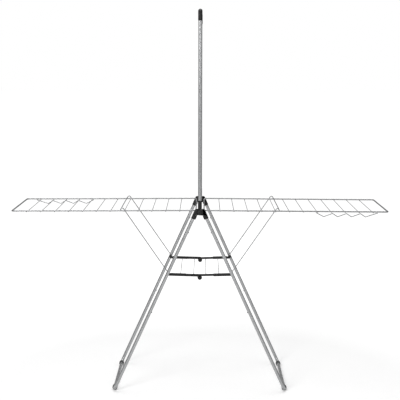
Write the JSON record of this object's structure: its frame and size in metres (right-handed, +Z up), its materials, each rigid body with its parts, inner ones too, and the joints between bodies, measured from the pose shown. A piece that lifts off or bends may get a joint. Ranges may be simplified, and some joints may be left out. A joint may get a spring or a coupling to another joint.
{
  "type": "clothes drying rack",
  "caption": "Free-standing folding clothes drying rack with two wire wings, braces, a small centre shelf and a tall hanging-rod frame.",
  "frame": {"origin": "on the ground, midway between the four feet", "axes": "+Z up, X along the two wings, -Y towards the front, so +X is the viewer's right"},
  "size_m": [1.811, 0.5784, 1.84],
  "materials": {
    "steel_tube": "satin",
    "steel_wire": "satin",
    "black_plastic": "fine texture",
    "foot_plastic": "matte"
  },
  "bodies": {
    "posts": {"front_post": "black_plastic", "rear_post": "black_plastic", "front_pivot_pin": "black_plastic", "rear_pivot_pin": "black_plastic"},
    "left_leg": {"left_leg_frame": "steel_tube", "left_foot_front": "foot_plastic", "left_foot_rear": "foot_plastic", "left_hub_arm_front": "black_plastic", "left_hub_arm_rear": "black_plastic"},
    "left_wing": {"left_wing_frame": "steel_wire", "left_wing_axle": "steel_wire", "left_wing_wire_01": "steel_wire", "left_wing_wire_02": "steel_wire", "left_wing_wire_03": "steel_wire", "left_wing_wire_04": "steel_wire", "left_wing_wire_05": "steel_wire", "left_wing_wire_06": "steel_wire", "left_wing_wire_07": "steel_wire", "left_wing_wire_08": "steel_wire", "left_wing_wire_09": "steel_wire", "left_wing_wire_10": "steel_wire", "left_wing_wire_11": "steel_wire", "left_wing_wire_12": "steel_wire", "left_hanger_holder": "steel_wire"},
    "left_brace": {"left_strut": "steel_wire"},
    "left_shelf": {"left_shelf_bar_front": "black_plastic", "left_shelf_bar_rear": "black_plastic", "left_shelf_wire_inner": "steel_wire", "left_shelf_wire_outer": "steel_wire"},
    "right_leg": {"right_leg_frame": "steel_tube", "right_foot_front": "foot_plastic", "right_foot_rear": "foot_plastic", "right_hub_arm_front": "black_plastic", "right_hub_arm_rear": "black_plastic"},
    "right_wing": {"right_wing_frame": "steel_wire", "right_wing_axle": "steel_wire", "right_wing_wire_01": "steel_wire", "right_wing_wire_02": "steel_wire", "right_wing_wire_03": "steel_wire", "right_wing_wire_04": "steel_wire", "right_wing_wire_05": "steel_wire", "right_wing_wire_06": "steel_wire", "right_wing_wire_07": "steel_wire", "right_wing_wire_08": "steel_wire", "right_wing_wire_09": "steel_wire", "right_wing_wire_10": "steel_wire", "right_wing_wire_11": "steel_wire", "right_wing_wire_12": "steel_wire", "right_hanger_holder": "steel_wire"},
    "right_brace": {"right_strut": "steel_wire"},
    "right_shelf": {"right_shelf_bar_front": "black_plastic", "right_shelf_bar_rear": "black_plastic", "right_shelf_wire_inner": "steel_wire", "right_shelf_wire_outer": "steel_wire"},
    "rod_frame": {"front_upright": "steel_tube", "rear_upright": "steel_tube", "front_corner_fitting": "black_plastic", "rear_corner_fitting": "black_plastic", "top_rod": "steel_tube"}
  },
  "joints": [
    {"name": "right_leg_fold", "type": "hinge", "parent": "posts", "child": "right_leg", "pos_m": [0, 0, 0.876], "axis": [0, 1, 0], "range_deg": [0, 17]},
    {"name": "left_leg_fold", "type": "hinge", "parent": "posts", "child": "left_leg", "pos_m": [0, 0, 0.876], "axis": [0, -1, 0], "range_deg": [0, 17]},
    {"name": "right_shelf_fold", "type": "hinge", "parent": "right_leg", "child": "right_shelf", "pos_m": [0.15528, 0, 0.578], "axis": [0, 1, 0], "range_deg": [0, 65]},
    {"name": "right_wing_fold", "type": "hinge", "parent": "right_leg", "child": "right_wing", "pos_m": [0.02, 0, 0.861], "axis": [0, -1, 0], "range_deg": [-62, 0]},
    {"name": "right_brace_swing", "type": "hinge", "parent": "right_leg", "child": "right_brace", "pos_m": [0.15528, 0, 0.578], "axis": [0, -1, 0], "range_deg": [0, 48]},
    {"name": "left_shelf_fold", "type": "hinge", "parent": "left_leg", "child": "left_shelf", "pos_m": [-0.15528, 0, 0.578], "axis": [0, -1, 0], "range_deg": [0, 65]},
    {"name": "left_wing_fold", "type": "hinge", "parent": "left_leg", "child": "left_wing", "pos_m": [-0.02, 0, 0.861], "axis": [0, 1, 0], "range_deg": [-62, 0]},
    {"name": "left_brace_swing", "type": "hinge", "parent": "left_leg", "child": "left_brace", "pos_m": [-0.15528, 0, 0.578], "axis": [0, 1, 0], "range_deg": [0, 48]},
    {"name": "rod_frame_lift", "type": "slide", "parent": "posts", "child": "rod_frame", "axis": [0, 0, 1], "range_m": [0, 0.06]}
  ],
  "couplings": [
    {"joint": "left_leg_fold", "follows": "right_leg_fold", "ratio": 1},
    {"joint": "right_shelf_fold", "follows": "right_leg_fold", "ratio": 3.8},
    {"joint": "left_shelf_fold", "follows": "right_leg_fold", "ratio": 3.8}
  ]
}
